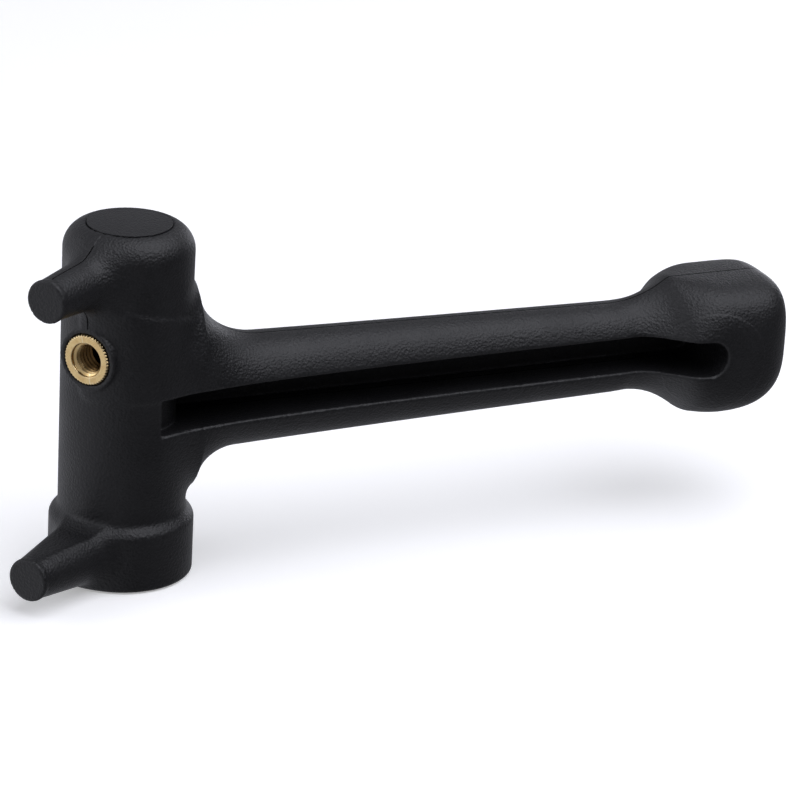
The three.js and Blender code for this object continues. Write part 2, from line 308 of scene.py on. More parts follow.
def along_pegs(x, y, z, height):
    """Distance out along the pegs' direction, sideways from it, and above it."""
    out = x * PEG_DIRECTION[0] + y * PEG_DIRECTION[1]
    side = x * PEG_SIDEWAYS[0] + y * PEG_SIDEWAYS[1]
    return out, side, z - height


def peg_field(x, y, z, height, reach, taper):
    """A tapered peg with a slight lip round its end face."""
    out, side, up = along_pegs(x, y, z, height)
    tip = PEG_TIP_RADIUS - PEG_LIP + np.clip(reach - out, 0, reach - HUB_FOOT_RADIUS) * taper
    lip = np.clip(1 - (reach - out) / PEG_LIP_LENGTH, 0, 1)
    cone = np.hypot(side, up) - tip - PEG_LIP * np.sqrt(lip)
    return np.maximum(smooth_max(cone, out - reach, PEG_EDGE), HUB_CORE_RADIUS - out)


def lower_peg_field(x, y, z):
    """The lower peg is trimmed by a flat facet that rises to the collar's rim."""
    out, side, up = along_pegs(x, y, z, PEG_LOWER_Z)
    peg = peg_field(x, y, z, PEG_LOWER_Z, PEG_LOWER_REACH, PEG_LOWER_TAPER)
    facet = up - FACET_RISE - FACET_SLOPE * (PEG_LOWER_REACH - out)
    return smooth_max(peg, facet, FACET_EDGE)


def lip_field(x, y, z):
    """The low round lip that frames the brass insert."""
    out, side, up = along_pegs(x, y, z, INSERT_Z)
    disc = smooth_max(np.hypot(side, up) - LIP_RADIUS, out - LIP_FACE, LIP_EDGE)
    return np.maximum(disc, HUB_CORE_RADIUS - out)


def slot_field(x, y, z, r):
    rise = z - ARM_AXIS_Z - SLOT_RISE
    half = SLOT_WIDTH / 2
    past = np.maximum(x - (SLOT_END_X - half), 0)
    outline = np.maximum(np.hypot(past, rise) - half, SLOT_START_X - x)
    return np.maximum(np.maximum(outline, y - SLOT_FLOOR_Y), SLOT_HUB_WALL_RADIUS - r)


def band_field(x, y, z, r):
    """The soft raised band that runs from the insert round to the arm's root."""
    out, side, up = along_pegs(x, y, z, INSERT_Z)
    turn = np.arctan2(side, out)
    window = np.maximum(BAND_LEFT - turn, turn - BAND_RIGHT) * BAND_RADIUS
    top = BAND_ABOVE - BAND_FALL * np.clip(turn / BAND_RIGHT, 0, 1)
    shape = smooth_max(np.maximum(up - top, -up - BAND_BELOW), window, BAND_END_EDGE)
    return np.maximum(smooth_max(shape, r - BAND_RADIUS, BAND_EDGE), HUB_CORE_RADIUS - r)


def handle_field(p):
    """The whole moulding, with its slot, bore and seats."""
    x, y, z = p[..., 0], p[..., 1], p[..., 2]
    r = np.hypot(x, y)
    solid = smooth_min(hub_field(r, z), arm_field(x, y, z), ARM_BLEND)
    solid = smooth_min(solid, band_field(x, y, z, r), BAND_BLEND)
    upper = peg_field(x, y, z, PEG_UPPER_Z, PEG_UPPER_REACH, PEG_UPPER_TAPER)
    solid = smooth_min(solid, upper, PEG_UPPER_FILLET)
    solid = smooth_min(solid, lower_peg_field(x, y, z), PEG_LOWER_FILLET)
    solid = smooth_min(solid, lip_field(x, y, z), LIP_BLEND)
    solid = smooth_max(solid, -slot_field(x, y, z, r), SLOT_RIM)
    solid = smooth_max(solid, COLLAR_BOTTOM - z, COLLAR_EDGE)
    bore = np.maximum(r - BORE_RADIUS, z - CAP_SEAT - BORE_ABOVE_SEAT)
    seat = np.maximum(r - CAP_RADIUS - FIT_GAP, CAP_SEAT - FIT_GAP - z)
    flange = np.maximum(r - FLANGE_RADIUS - FIT_GAP, z - FLANGE_TOP - FIT_GAP)
    out, side, up = along_pegs(x, y, z, INSERT_Z)
    hole = np.maximum(np.hypot(side, up) - INSERT_RADIUS - INSERT_HOLE_GAP, -out)
    for opening in (bore, seat, flange, hole):
        solid = smooth_max(solid, -opening, OPENING_EDGE)
    return solid


# ---------------------------------------------------------------- meshing a field


def grid_values(field, low, high, step):
    counts = np.ceil((high - low) / step).astype(int) + 1
    axes = [low[i] + step * np.arange(counts[i]) for i in range(3)]
    values = np.empty(counts, np.float32)
    plane = np.empty((counts[1], counts[2], 3))
    plane[..., 1] = axes[1][:, None]
    plane[..., 2] = axes[2][None, :]
    for i, x in enumerate(axes[0]):
        plane[..., 0] = x
        values[i] = field(plane)
    return values


def surface_net(values, low, step):
    """One vertex in each cell that the surface crosses, and one quad about each crossed edge."""
    inside = values < 0
    corners = [(i, j, k) for i in (0, 1) for j in (0, 1) for k in (0, 1)]
    shape = np.array(values.shape) - 1

    def corner(array, c):
        return array[c[0]:c[0] + shape[0], c[1]:c[1] + shape[1], c[2]:c[2] + shape[2]]

    count = sum(corner(inside, c).astype(np.int8) for c in corners)
    cells = np.argwhere((count > 0) & (count < 8))
    index = -np.ones(shape, np.int32)
    index[tuple(cells.T)] = np.arange(len(cells))
    at = {c: values[tuple((cells + c).T)].astype(float) for c in corners}
    total = np.zeros((len(cells), 3))
    crossings = np.zeros(len(cells))
    for a in corners:
        for axis in range(3):
            if a[axis]:
                continue
            b = tuple(v + (n == axis) for n, v in enumerate(a))
            crossed = (at[a] < 0) != (at[b] < 0)
            share = at[a][crossed] / (at[a][crossed] - at[b][crossed])
            point = np.tile(np.array(a, float), (len(share), 1))
            point[:, axis] += share
            total[crossed] += point
            crossings[crossed] += 1
    points = low + step * (cells + total / crossings[:, None])
    quads = []
    for axis in range(3):
        one, two = (axis + 1) % 3, (axis + 2) % 3
        first = [slice(None)] * 3
        second = [slice(None)] * 3
        first[axis], second[axis] = slice(0, -1), slice(1, None)
        edges = np.argwhere(inside[tuple(first)] != inside[tuple(second)])
        ring = []
        for back_one, back_two in ((1, 1), (0, 1), (0, 0), (1, 0)):
            cell = edges.copy()
            cell[:, one] -= back_one
            cell[:, two] -= back_two
            ring.append(index[tuple(cell.T)])
        ring = np.stack(ring, 1)
        starts_inside = inside[tuple(edges.T)]
        ring[~starts_inside] = ring[~starts_inside][:, ::-1]
        quads.append(ring)
    return points, np.concatenate(quads)


def gradient(field, points, step=0.02):
    slope = np.empty_like(points)
    for axis in range(3):
        shift = np.zeros(3)
        shift[axis] = step
        slope[:, axis] = (field(points + shift) - field(points - shift)) / (2 * step)
    return slope


def project(field, points):
    """Moves points one step onto the surface of the field, along its slope."""
    slope = gradient(field, points)
    size = np.maximum((slope**2).sum(1), 0.05)
    move = (field(points) / size)[:, None] * slope
    length = np.maximum(np.linalg.norm(move, axis=1), 1e-9)
    return points - move * np.minimum(1, LONGEST_MOVE / length)[:, None]


def relax(points, quads, share=0.5):
    """Moves each vertex towards the middle of its neighbours."""
    total = np.zeros_like(points)
    count = np.zeros(len(points))
    for a, b in ((0, 1), (1, 2), (2, 3), (3, 0)):
        np.add.at(total, quads[:, a], points[quads[:, b]])
        np.add.at(total, quads[:, b], points[quads[:, a]])
        np.add.at(count, quads[:, a], 1)
        np.add.at(count, quads[:, b], 1)
    return points + share * (total / count[:, None] - points)


def link_mesh(name, points, faces, smooth=True):
    """Links a mesh whose points are an array in millimetres and whose faces are lists."""
    mesh = bpy.data.meshes.new(name)
    mesh.from_pydata((points * MM).tolist(), [], faces)
    mesh.validate()
    mesh.polygons.foreach_set("use_smooth", [smooth] * len(mesh.polygons))
    mesh.update()
    piece = bpy.data.objects.new(name, mesh)
    bpy.context.scene.collection.objects.link(piece)
    return piece


def mesh_from_field(name, field, low, high, step):
    margin = 1.6 * step
    low, high = low - margin, high + margin
    points, quads = surface_net(grid_values(field, low, high, step), low, step)
    for _ in range(RELAX_ROUNDS):
        points = project(field, relax(points, quads))
    points = project(field, project(field, points))
    return link_mesh(name, points, quads.tolist())


# ---------------------------------------------------------------- lines cut into a mesh


def points_of(bm):
    bm.verts.index_update()
    return np.array([v.co[:] for v in bm.verts]) / MM


def cut_along(bm, level, offset):
    """Adds edges where level(points) equals offset. A level of nan keeps a stretch uncut."""
    value = level(points_of(bm)) - offset
    shares = {}
    for edge in bm.edges:
        a, b = (value[v.index] for v in edge.verts)
        if a * b < 0:
            shares[edge] = a / (a - b)
    made = bmesh.ops.bisect_edges(bm, edges=list(shares), cuts=1, edge_percents=shares)
    new = [v for v in made["geom_split"] if isinstance(v, bmesh.types.BMVert)]
    bmesh.ops.connect_verts(bm, verts=new)


def groove(bm, level, half_width, depth):
    """A fine V groove along the line where level is zero."""
    for offset in (-half_width, 0, half_width):
        cut_along(bm, level, offset)
    bm.normal_update()
    value = level(points_of(bm))
    moves = []
    for vertex, at in zip(bm.verts, value):
        if abs(at) < 0.1 * half_width:
            moves.append((vertex, vertex.co - vertex.normal * depth * MM))
    for vertex, place in moves:
        vertex.co = place


def arm_parting(p):
    """Zero in the plane in which the two halves of the mould meet on the arm and knob."""
    return np.where(p[:, 0] > HUB_FOOT_RADIUS, p[:, 1], np.nan)


def peg_parting(p):
    """Zero in the vertical plane through the pegs, from the hub's crown down to the insert."""
    out = p[:, 0] * PEG_DIRECTION[0] + p[:, 1] * PEG_DIRECTION[1]
    side = p[:, 0] * PEG_SIDEWAYS[0] + p[:, 1] * PEG_SIDEWAYS[1]
    above_insert = p[:, 2] > INSERT_Z + LIP_RADIUS + LINE_FROM_LIP
    along_peg = (out > CAP_RADIUS + LINE_FROM_CAP) & (out < PEG_UPPER_REACH - LINE_END)
    shown = along_peg & above_insert
    return np.where(shown, side, np.nan)


def knob_pad(p):
    """Distance outside the round pad on the side of the knob, nan on the slot's walls."""
    rise = p[:, 2] - ARM_AXIS_Z + PAD_DROP
    return np.where(p[:, 1] < PAD_SIDE_Y, np.hypot(p[:, 0] - PAD_X, rise) - PAD_RADIUS, np.nan)


def raise_pad(bm):
    """Lifts the round pad off the knob's near side by a small step."""
    for offset in (0, -PAD_SLOPE):
        cut_along(bm, knob_pad, offset)
    value = knob_pad(points_of(bm))
    for vertex, at in zip(bm.verts, value):
        if at < -0.9 * PAD_SLOPE:
            vertex.co.y -= PAD_STEP * MM


def build_handle():
    low = np.minimum(BODY_LOW, CAP_LOW)
    handle = mesh_from_field("handle_moulding", handle_field, low, BODY_HIGH, GRID)
    bm = bmesh.new()
    bm.from_mesh(handle.data)
    groove(bm, arm_parting, **ARM_GROOVE)
    groove(bm, peg_parting, **PEG_GROOVE)
    raise_pad(bm)
    bm.to_mesh(handle.data)
    bm.free()
    handle.data.polygons.foreach_set("use_smooth", [True] * len(handle.data.polygons))
    return handle


# ---------------------------------------------------------------- turned pieces


def rounded(outline, radius, steps=4):
    """Rounds every corner of a closed [radius, height] outline, apart from corners on the axis."""
    points = [np.array(p, float) for p in outline]
    result = []
    for i, corner in enumerate(points):
        before, after = points[i - 1] - corner, points[(i + 1) % len(points)] - corner
        if corner[0] == 0:
            result.append(corner)
            continue
        reach = min(radius, np.linalg.norm(before) / 2.2, np.linalg.norm(after) / 2.2)
        start = corner + before / np.linalg.norm(before) * reach
        end = corner + after / np.linalg.norm(after) * reach
        for step in range(steps + 1):
            t = step / steps
            result.append((1 - t) ** 2 * start + 2 * t * (1 - t) * corner + t**2 * end)
    return result


def turned_piece(name, outline, edge=0.2, segments=160):
    """Turns a closed outline about Z. Points on the axis close the piece's ends."""
    profile = rounded(outline, edge)
    turns = [2 * math.pi * i / segments for i in range(segments)]
    points = []
    rings = []
    for radius, height in profile:
        if radius == 0:
            rings.append([len(points)] * segments)
            points.append((0, 0, height))
            continue
        rings.append(list(range(len(points), len(points) + segments)))
        points += [(radius * math.cos(a), radius * math.sin(a), height) for a in turns]
    faces = []
    for ring, following in zip(rings, rings[1:] + rings[:1]):
        for i in range(segments):
            j = (i + 1) % segments
            face = [ring[i], ring[j], following[j], following[i]]
            distinct = list(dict.fromkeys(face))
            if len(distinct) > 2:
                faces.append(distinct)
    return link_mesh(name, np.array(points), faces)


def build_cap():
    radius, bottom, top = CAP_RADIUS, CAP_LOW[2], CAP_HIGH[2]
    outline = [(0, bottom), (radius, bottom), (radius, top), (0, top)]
    return turned_piece("hub_plug", outline, CAP_EDGE)


def build_spindle():
    foot, top = SPINDLE_HIGH[0], SPINDLE_HIGH[2]
    outline = [
        (0, 0),
        (foot, 0),
        (foot, FOOT_THICKNESS),
        (SHANK_RADIUS + SHANK_FILLET, FOOT_THICKNESS),
        (SHANK_RADIUS, FOOT_THICKNESS + SHANK_FILLET),
        (SHANK_RADIUS, RING_GROOVE_LOW),
        (RING_GROOVE_RADIUS, RING_GROOVE_LOW),
        (RING_GROOVE_RADIUS, RING_GROOVE_HIGH),
        (SHANK_RADIUS, RING_GROOVE_HIGH),
        (SHANK_RADIUS, top - SHANK_CHAMFER),
        (SHANK_RADIUS - SHANK_CHAMFER, top),
        (0, top),
    ]
    return turned_piece("spindle_turned", outline, SPINDLE_EDGE)


def build_lower_bush():
    low, high = box_mm("lower_bush")
    outline = [
        (BUSH_INNER, low[2]),
        (high[0], low[2]),
        (high[0], FLANGE_TOP),
        (BUSH_OUTER, FLANGE_TOP),
        (BUSH_OUTER, high[2]),
        (BUSH_INNER, high[2]),
    ]
    return turned_piece("bush_with_flange", outline)


def build_plain_ring(name, node, edge):
    """A bush or washer that runs on the spindle's shank."""
    low, high = box_mm(node)
    inner, outer, bottom, top = BUSH_INNER, high[0], low[2], high[2]
    outline = [(inner, bottom), (outer, bottom), (outer, top), (inner, top)]
    return turned_piece(name, outline, edge)


def build_retaining_ring():
    """An open spring ring, a little wider at its middle than at its ends."""
    low, high = box_mm("retaining_ring")
    width = high[1] - RING_INNER
    section = [(0, RING_CORNER), (RING_CORNER, 0), (1 - RING_CORNER, 0), (1, RING_CORNER)]
    section += [(1 - x, 1 - z) for x, z in section]
    points = []
    for i in range(RING_STEPS + 1):
        share = i / RING_STEPS
        turn = RING_HALF_GAP + (2 * math.pi - 2 * RING_HALF_GAP) * share
        taper = RING_TAPER * width * (1 - math.sin(math.pi * share) ** 0.5)
        for across, up in section:
            radius = RING_INNER + across * (width - taper)
            height = low[2] + up * (high[2] - low[2])
            points.append((radius * math.cos(turn), radius * math.sin(turn), height))
    count = len(section)
    faces = []
    for i in range(RING_STEPS):
        for j in range(count):
            a, b = i * count + j, i * count + (j + 1) % count
            faces.append([a, b, b + count, a + count])
    faces.append(list(range(count))[::-1])
    faces.append([RING_STEPS * count + j for j in range(count)])
    return link_mesh("ring_open", np.array(points), faces, smooth=False)


KNURL_TEETH = 48
KNURL_DEPTH = 0.32
KNURL_COLUMNS = 8
COLUMNS = KNURL_TEETH * KNURL_COLUMNS
RIM_CHAMFER = 0.3
THREAD_PITCH = 1.25
THREAD_CREST = 3.35
THREAD_ROOT = 4.0
THREAD_ROWS_PER_TURN = 14
THREAD_TOP = 0.55
THREAD_BOTTOM_GAP = 0.1
FLANK_SLOPE = 1.3
FLANK_OFFSET = 0.12
RUN_OUT_DEPTH = 1.1
RUN_OUT_RISE = 0.1
MOUTH_RADIUS = 4.35
MOUTH_CHAMFER = 0.15


def insert_profile():
    """Rows round the insert's section: (radius, depth below the face, knurl share, threaded)."""
    face_inner, face_outer = MOUTH_RADIUS + MOUTH_CHAMFER, INSERT_RADIUS - RIM_CHAMFER
    rows = [(MOUTH_RADIUS - 0.12, 0.1, 0, 0), (MOUTH_RADIUS, 0.02, 0, 0), (face_inner, 0, 0, 0)]
    rows += [(face_inner + (face_outer - face_inner) * t, 0, 0, 0) for t in (0.25, 0.5, 0.75)]
    rows += [(face_outer - 0.1, 0, 0.15, 0), (face_outer, 0.04, 0.5, 0)]
    rows += [(INSERT_RADIUS - 0.08, 0.2, 1, 0)]
    rows += [(INSERT_RADIUS, depth, 1, 0) for depth in (0.4, 2.4, 4.5)]
    rows += [(INSERT_RADIUS, INSERT_LENGTH - RIM_CHAMFER, 1, 0)]
    rows += [(face_outer, INSERT_LENGTH, 0.3, 0)]
    rows += [(THREAD_ROOT + RIM_CHAMFER, INSERT_LENGTH, 0, 0)]
    steps = int(INSERT_LENGTH / THREAD_PITCH * THREAD_ROWS_PER_TURN)
    reach = INSERT_LENGTH - THREAD_TOP - THREAD_BOTTOM_GAP
    rows += [(THREAD_CREST, THREAD_TOP + reach * i / steps, 0, 1) for i in range(steps, -1, -1)]
    return rows


def thread_radius(depth, turns):
    """The bore's radius at a depth and a share of a turn; the thread runs out in the mouth."""
    phase = abs(((depth / THREAD_PITCH + turns) % 1) * 2 - 1)
    flank = min(max(phase * FLANK_SLOPE - FLANK_OFFSET, 0), 1)
    run_out = min(max((RUN_OUT_DEPTH - depth) / THREAD_TOP, 0), 1)
    radius = THREAD_CREST + (THREAD_ROOT - THREAD_CREST) * flank + run_out * RUN_OUT_RISE
    return min(radius + run_out * (MOUTH_RADIUS - THREAD_ROOT), MOUTH_RADIUS - MOUTH_CHAMFER)


def build_insert():
    rows = insert_profile()
    upwards = np.array([0, 0, 1.0])
    points = []
    for radius, depth, knurl, thread in rows:
        for i in range(COLUMNS):
            turns = i / COLUMNS
            tooth = abs(((i / KNURL_COLUMNS) % 1) * 2 - 1)
            r = radius - knurl * KNURL_DEPTH * (1 - tooth)
            if thread:
                r = thread_radius(depth, turns)
            side, up = r * math.cos(2 * math.pi * turns), r * math.sin(2 * math.pi * turns)
            place = PEG_DIRECTION * (INSERT_FACE - depth) + side * PEG_SIDEWAYS
            points.append(place + (INSERT_Z + up) * upwards)
    faces = []
    for row in range(len(rows)):
        this, below = row * COLUMNS, (row + 1) % len(rows) * COLUMNS
        for i in range(COLUMNS):
            j = (i + 1) % COLUMNS
            faces.append([this + i, this + j, below + j, below + i])
    insert = link_mesh("brass_insert_knurled", np.array(points), faces)
    face_outwards(insert)
    return insert


def face_outwards(piece):
    bm = bmesh.new()
    bm.from_mesh(piece.data)
    bmesh.ops.recalc_face_normals(bm, faces=bm.faces)
    bm.to_mesh(piece.data)
    bm.free()


# ---------------------------------------------------------------- materials


class Nodes:
    """A node tree built by name, with values and links given together."""

    def __init__(self, name):
        self.material = bpy.data.materials.new(name)
        self.material.use_nodes = True
        self.tree = self.material.node_tree
        self.shader = self.tree.nodes["Principled BSDF"]
        self.coordinates = self.add("ShaderNodeTexCoord").outputs["Object"]

    def add(self, kind, inputs=None, **settings):
        node = self.tree.nodes.new(kind)
        for key, value in settings.items():
            setattr(node, key, value)
        for key, value in (inputs or {}).items():
            self.feed(node.inputs[key], value)
        return node

    def feed(self, socket, value):
        if isinstance(value, bpy.types.NodeSocket):
            self.tree.links.new(value, socket)
        else:
            socket.default_value = value

    def set(self, **inputs):
        for key, value in inputs.items():
            self.feed(self.shader.inputs[key.replace("_", " ")], value)

    def noise(self, size_mm, detail=2.0, rough=0.5):
        inputs = {"Vector": self.coordinates, "Scale": 1 / (size_mm * MM)}
        inputs.update({"Detail": detail, "Roughness": rough})
        return self.add("ShaderNodeTexNoise", inputs).outputs["Fac"]

    def cells(self, size_mm):
        inputs = {"Vector": self.coordinates, "Scale": 1 / (size_mm * MM)}
        return self.add("ShaderNodeTexVoronoi", inputs).outputs["Distance"]

    def ramp(self, value, low, high, start=0.0, end=1.0):
        """Low at start, high at end, and held beyond them."""
        inputs = {"Value": value, "From Min": start, "From Max": end, "To Min": low, "To Max": high}
        return self.add("ShaderNodeMapRange", inputs).outputs["Result"]

    def axes(self, vector):
        parts = self.add("ShaderNodeSeparateXYZ", {"Vector": vector})
        return [parts.outputs[axis] for axis in "XYZ"]

    def maths(self, operation, a, b):
        node = self.add("ShaderNodeMath", operation=operation)
        self.feed(node.inputs[0], a)
        self.feed(node.inputs[1], b)
        return node.outputs[0]

    def mix(self, share, a, b):
        node = self.add("ShaderNodeMix", data_type="RGBA")
        self.feed(node.inputs[0], share)
        self.feed(node.inputs[6], a)
        self.feed(node.inputs[7], b)
        return node.outputs[2]

    def bump(self, height, depth_mm, strength=1.0, onto=None):
        inputs = {"Height": height, "Distance": depth_mm * MM, "Strength": strength}
        if onto is not None:
            inputs["Normal"] = onto
        return self.add("ShaderNodeBump", inputs).outputs["Normal"]

    def edges(self, start, end):
        """Rises from 0 to 1 on the mesh's convex edges."""
        pointiness = self.add("ShaderNodeNewGeometry").outputs["Pointiness"]
        return self.ramp(pointiness, 0.0, 1.0, start, end)


def grey(value, blue=1.0):
    return (value, value, value * blue, 1.0)


def parting_line_shade_mask(n):
    """1 in the grooves where the halves of the mould met, 0 elsewhere: where the material paints
    shade into the grooves.
    """
    x, y, z = n.axes(n.coordinates)

    def along(direction):
        terms = [n.maths("MULTIPLY", a, b) for a, b in zip((x, y), direction)]
        return n.maths("ADD", *terms)

    def all_of(first, *others):
        for other in others:
            first = n.maths("MULTIPLY", first, other)
        return first

    out = along(PEG_DIRECTION)
    arm = all_of(
        n.maths("GREATER_THAN", x, HUB_FOOT_RADIUS * MM),
        n.maths("LESS_THAN", n.maths("ABSOLUTE", y, 0), LINE_SHADE_HALF_WIDTH * MM),
    )
    peg = all_of(
        n.maths("LESS_THAN", n.maths("ABSOLUTE", along(PEG_SIDEWAYS), 0), LINE_SHADE_HALF_WIDTH * MM),
        n.maths("GREATER_THAN", z, (INSERT_Z + LIP_RADIUS) * MM),
        n.maths("LESS_THAN", z, (HUB_HEIGHT - LINE_DROP) * MM),
        n.maths("GREATER_THAN", out, 0),
        n.maths("LESS_THAN", out, (PEG_UPPER_REACH - LINE_END) * MM),
    )
    return n.maths("MAXIMUM", arm, peg)


NYLON_SHINE = 0.42
# The parting-line grooves: their cut shine and their painted shade colour, near black.
LINE_SHINE = 0.04
LINE_PAINTED_SHADE = 0.001


def black_nylon(name, dark, light, grain_mm, grain_depth, roughness, painted_groove_shade=False):
    """Eroded black moulding: fine grain, faint flow clouds, slightly rubbed edges and, when asked,
    painted shade in the parting-line grooves.
    """
    n = Nodes(name)
    grain = n.noise(grain_mm, 3.0, 0.6)
    pits = n.cells(grain_mm * 1.6)
    clouds = n.noise(14.0, 2.0)
    tint = n.mix(n.ramp(grain, 0, 1, 0.35, 0.65), grey(dark, 1.1), grey(light, 1.12))
    tint = n.mix(n.ramp(clouds, 0, 0.35, 0.35, 0.7), tint, grey(light * 1.25, 1.1))
    rubbed = n.maths("MULTIPLY", n.edges(0.52, 0.6), 0.35)
    tint = n.mix(rubbed, tint, grey(light * 2.2, 1.08))
    low, high = roughness
    cloudy = n.ramp(clouds, 0, high - low, 0.3, 0.7)
    finish = n.maths("ADD", cloudy, n.ramp(grain, low, low + 0.08, 0.3, 0.7))
    surface = n.bump(clouds, 0.25, 0.25)
    surface = n.bump(pits, grain_depth, 1.0, surface)
    surface = n.bump(grain, grain_depth, 1.0, surface)
    shine = NYLON_SHINE
    if painted_groove_shade:
        # Painted shade: the parting-line grooves are coloured near black and lose most of their
        # shine, standing in for shade in them.
        line = parting_line_shade_mask(n)
        tint = n.mix(line, tint, grey(LINE_PAINTED_SHADE))
        shine = n.ramp(line, NYLON_SHINE, LINE_SHINE)
    n.set(Base_Color=tint, Roughness=finish, Normal=surface, Specular_IOR_Level=shine)
    return n.material


def turned_metal(name, colour, worn, roughness):
    """Metal with fine turning marks, stains and brighter edges."""
    n = Nodes(name)
    marks = n.noise(0.12, 2.0)
    stains = n.noise(5.0, 4.0)
    bright = tuple(min(1, 1.25 * c) for c in colour[:3]) + (1,)
    tint = n.mix(n.ramp(stains, 0, 1, 0.35, 0.7), colour, worn)
    tint = n.mix(n.maths("MULTIPLY", n.edges(0.5, 0.58), 0.5), tint, bright)
    finish = n.ramp(stains, roughness, roughness + 0.14, 0.3, 0.7)
    n.set(Base_Color=tint, Metallic=1.0, Roughness=finish, Normal=n.bump(marks, 0.01, 0.35))
    return n.material


BRASS = (0.83, 0.62, 0.30, 1)
BRASS_TARNISHED = (0.70, 0.48, 0.21, 1)
BRASS_BRIGHT = (0.98, 0.84, 0.55, 1)
# The brass's painted shade deep in its bore, and the depths over which it fades in.
BRASS_BORE_PAINTED_SHADE = (0.22, 0.13, 0.05, 1)
BORE_LIT_DEPTH = 0.4
BORE_DARK_DEPTH = 3.5


def brass_metal():
    """Cut brass: fine scratches round the insert's own axis, a little tarnish and painted shade
    that darkens the bore.
    """
    n = Nodes("brass_turned")
    turn = -math.atan2(PEG_DIRECTION[1], PEG_DIRECTION[0])
    inputs = {"Vector": n.coordinates, "Angle": turn}
    spin = n.add("ShaderNodeVectorRotate", inputs, rotation_type="Z_AXIS").outputs["Vector"]
    out, side, height = n.axes(spin)
    rise = n.maths("SUBTRACT", height, INSERT_Z * MM)
    square = n.maths("ADD", n.maths("MULTIPLY", rise, rise), n.maths("MULTIPLY", side, side))
    radius = n.maths("SQRT", square, 0)
    ring_place = n.add("ShaderNodeCombineXYZ", {"X": radius, "Y": out}).outputs["Vector"]
    inputs = {"Vector": ring_place, "Scale": 9000.0, "Detail": 1.0}
    rings = n.add("ShaderNodeTexNoise", inputs).outputs["Fac"]
    stains = n.noise(1.6, 4.0)
    tint = n.mix(n.ramp(stains, 0, 1, 0.35, 0.7), BRASS, BRASS_TARNISHED)
    tint = n.mix(n.maths("MULTIPLY", n.edges(0.5, 0.6), 0.6), tint, BRASS_BRIGHT)
    # Painted shade: the brass darkens towards the bore's depth, standing in for shade in the bore.
    dark_at, lit_at = ((INSERT_FACE - depth) * MM for depth in (BORE_DARK_DEPTH, BORE_LIT_DEPTH))
    tint = n.mix(n.ramp(out, 0.0, 1.0, dark_at, lit_at), BRASS_BORE_PAINTED_SHADE, tint)
    finish = n.ramp(stains, 0.2, 0.36, 0.3, 0.7)
    n.set(Base_Color=tint, Metallic=1.0, Roughness=finish, Normal=n.bump(rings, 0.004, 0.3))
    return n.material


ACETAL = (0.60, 0.57, 0.48, 1)
ACETAL_DARK = (0.50, 0.46, 0.37, 1)


def bearing_plastic():
    """Natural acetal, faintly mottled and slightly translucent."""
    n = Nodes("acetal_natural")
    mottle = n.noise(2.5, 3.0)
    tint = n.mix(n.ramp(mottle, 0, 1, 0.3, 0.7), ACETAL, ACETAL_DARK)
    surface = n.bump(n.noise(0.3), 0.01, 0.3)
    n.set(Base_Color=tint, Roughness=n.ramp(mottle, 0.36, 0.5), Normal=surface)
    n.set(Subsurface_Weight=0.15, Subsurface_Scale=0.001)
    return n.material


def dress(piece, material, body, node):
    """Gives a piece its material and body, and lets it stand in for its CAD node."""
    piece.data.materials.clear()
    piece.data.materials.append(material)
    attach(piece, body)
    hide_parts(node)


STEEL = (0.58, 0.59, 0.61, 1)
STEEL_WORN = (0.44, 0.45, 0.46, 1)
PHOSPHATE = (0.09, 0.09, 0.10, 1)
PHOSPHATE_WORN = (0.05, 0.05, 0.055, 1)


def build_object():
    nylon = black_nylon(
        "nylon_black_grained",
        dark=0.0045,
        light=0.0085,
        grain_mm=0.42,
        grain_depth=0.11,
        roughness=(0.36, 0.46),
        painted_groove_shade=True,
    )
    cap_nylon = black_nylon(
        "nylon_black_cap",
        dark=0.0050,
        light=0.0090,
        grain_mm=0.40,
        grain_depth=0.10,
        roughness=(0.36, 0.44),
    )
    steel = turned_metal("steel_zinc_plated", STEEL, STEEL_WORN, roughness=0.26)
    spring = turned_metal("steel_phosphated", PHOSPHATE, PHOSPHATE_WORN, roughness=0.42)
    acetal = bearing_plastic()
    dress(build_handle(), nylon, "handle", "handle_body")
    dress(build_cap(), cap_nylon, "handle", "hub_cap")
    dress(build_insert(), brass_metal(), "handle", "threaded_insert")
    dress(build_lower_bush(), acetal, "handle", "lower_bush")
    bush = build_plain_ring("bush_plain", "upper_bush", BUSH_EDGE)
    dress(bush, acetal, "handle", "upper_bush")
    dress(build_spindle(), steel, "pivot", "pivot_spindle")
    washer = build_plain_ring("washer_friction", "foot_washer", WASHER_EDGE)
    dress(washer, acetal, "pivot", "foot_washer")
    washer = build_plain_ring("washer_thrust", "top_washer", WASHER_EDGE)
    dress(washer, steel, "pivot", "top_washer")
    dress(build_retaining_ring(), spring, "pivot", "retaining_ring")


# ---------------------------------------------------------------- stage, light and camera


FLOOR_LIFT = 0.32
FLOOR_HALF_SIZE = 6000.0
FLOOR_DROP = 0.05
COOL_LIGHT = (0.97, 0.98, 1.06)


def build_floor():
    """A pale sheet that the camera sees a little brighter than it is lit."""
    n = Nodes("floor_pale")
    paper = n.noise(3.0, 3.0)
    n.set(Base_Color=n.mix(paper, grey(0.86), grey(0.9)), Roughness=0.75, Specular_IOR_Level=0.2)
    n.set(Normal=n.bump(paper, 0.05, 0.1))
    seen = n.add("ShaderNodeLightPath").outputs["Is Camera Ray"]
    n.set(Emission_Color=grey(1.0), Emission_Strength=n.maths("MULTIPLY", seen, FLOOR_LIFT))
    signs = ((-1, -1), (1, -1), (1, 1), (-1, 1))
    corners = [(a * FLOOR_HALF_SIZE, b * FLOOR_HALF_SIZE, -FLOOR_DROP) for a, b in signs]
    floor = link_mesh("floor", np.array(corners), [[0, 1, 2, 3]])
    floor.data.materials.append(n.material)
    floor.visible_glossy = False


LIGHTS_AIM = (0.06, 0.0, 0.045)


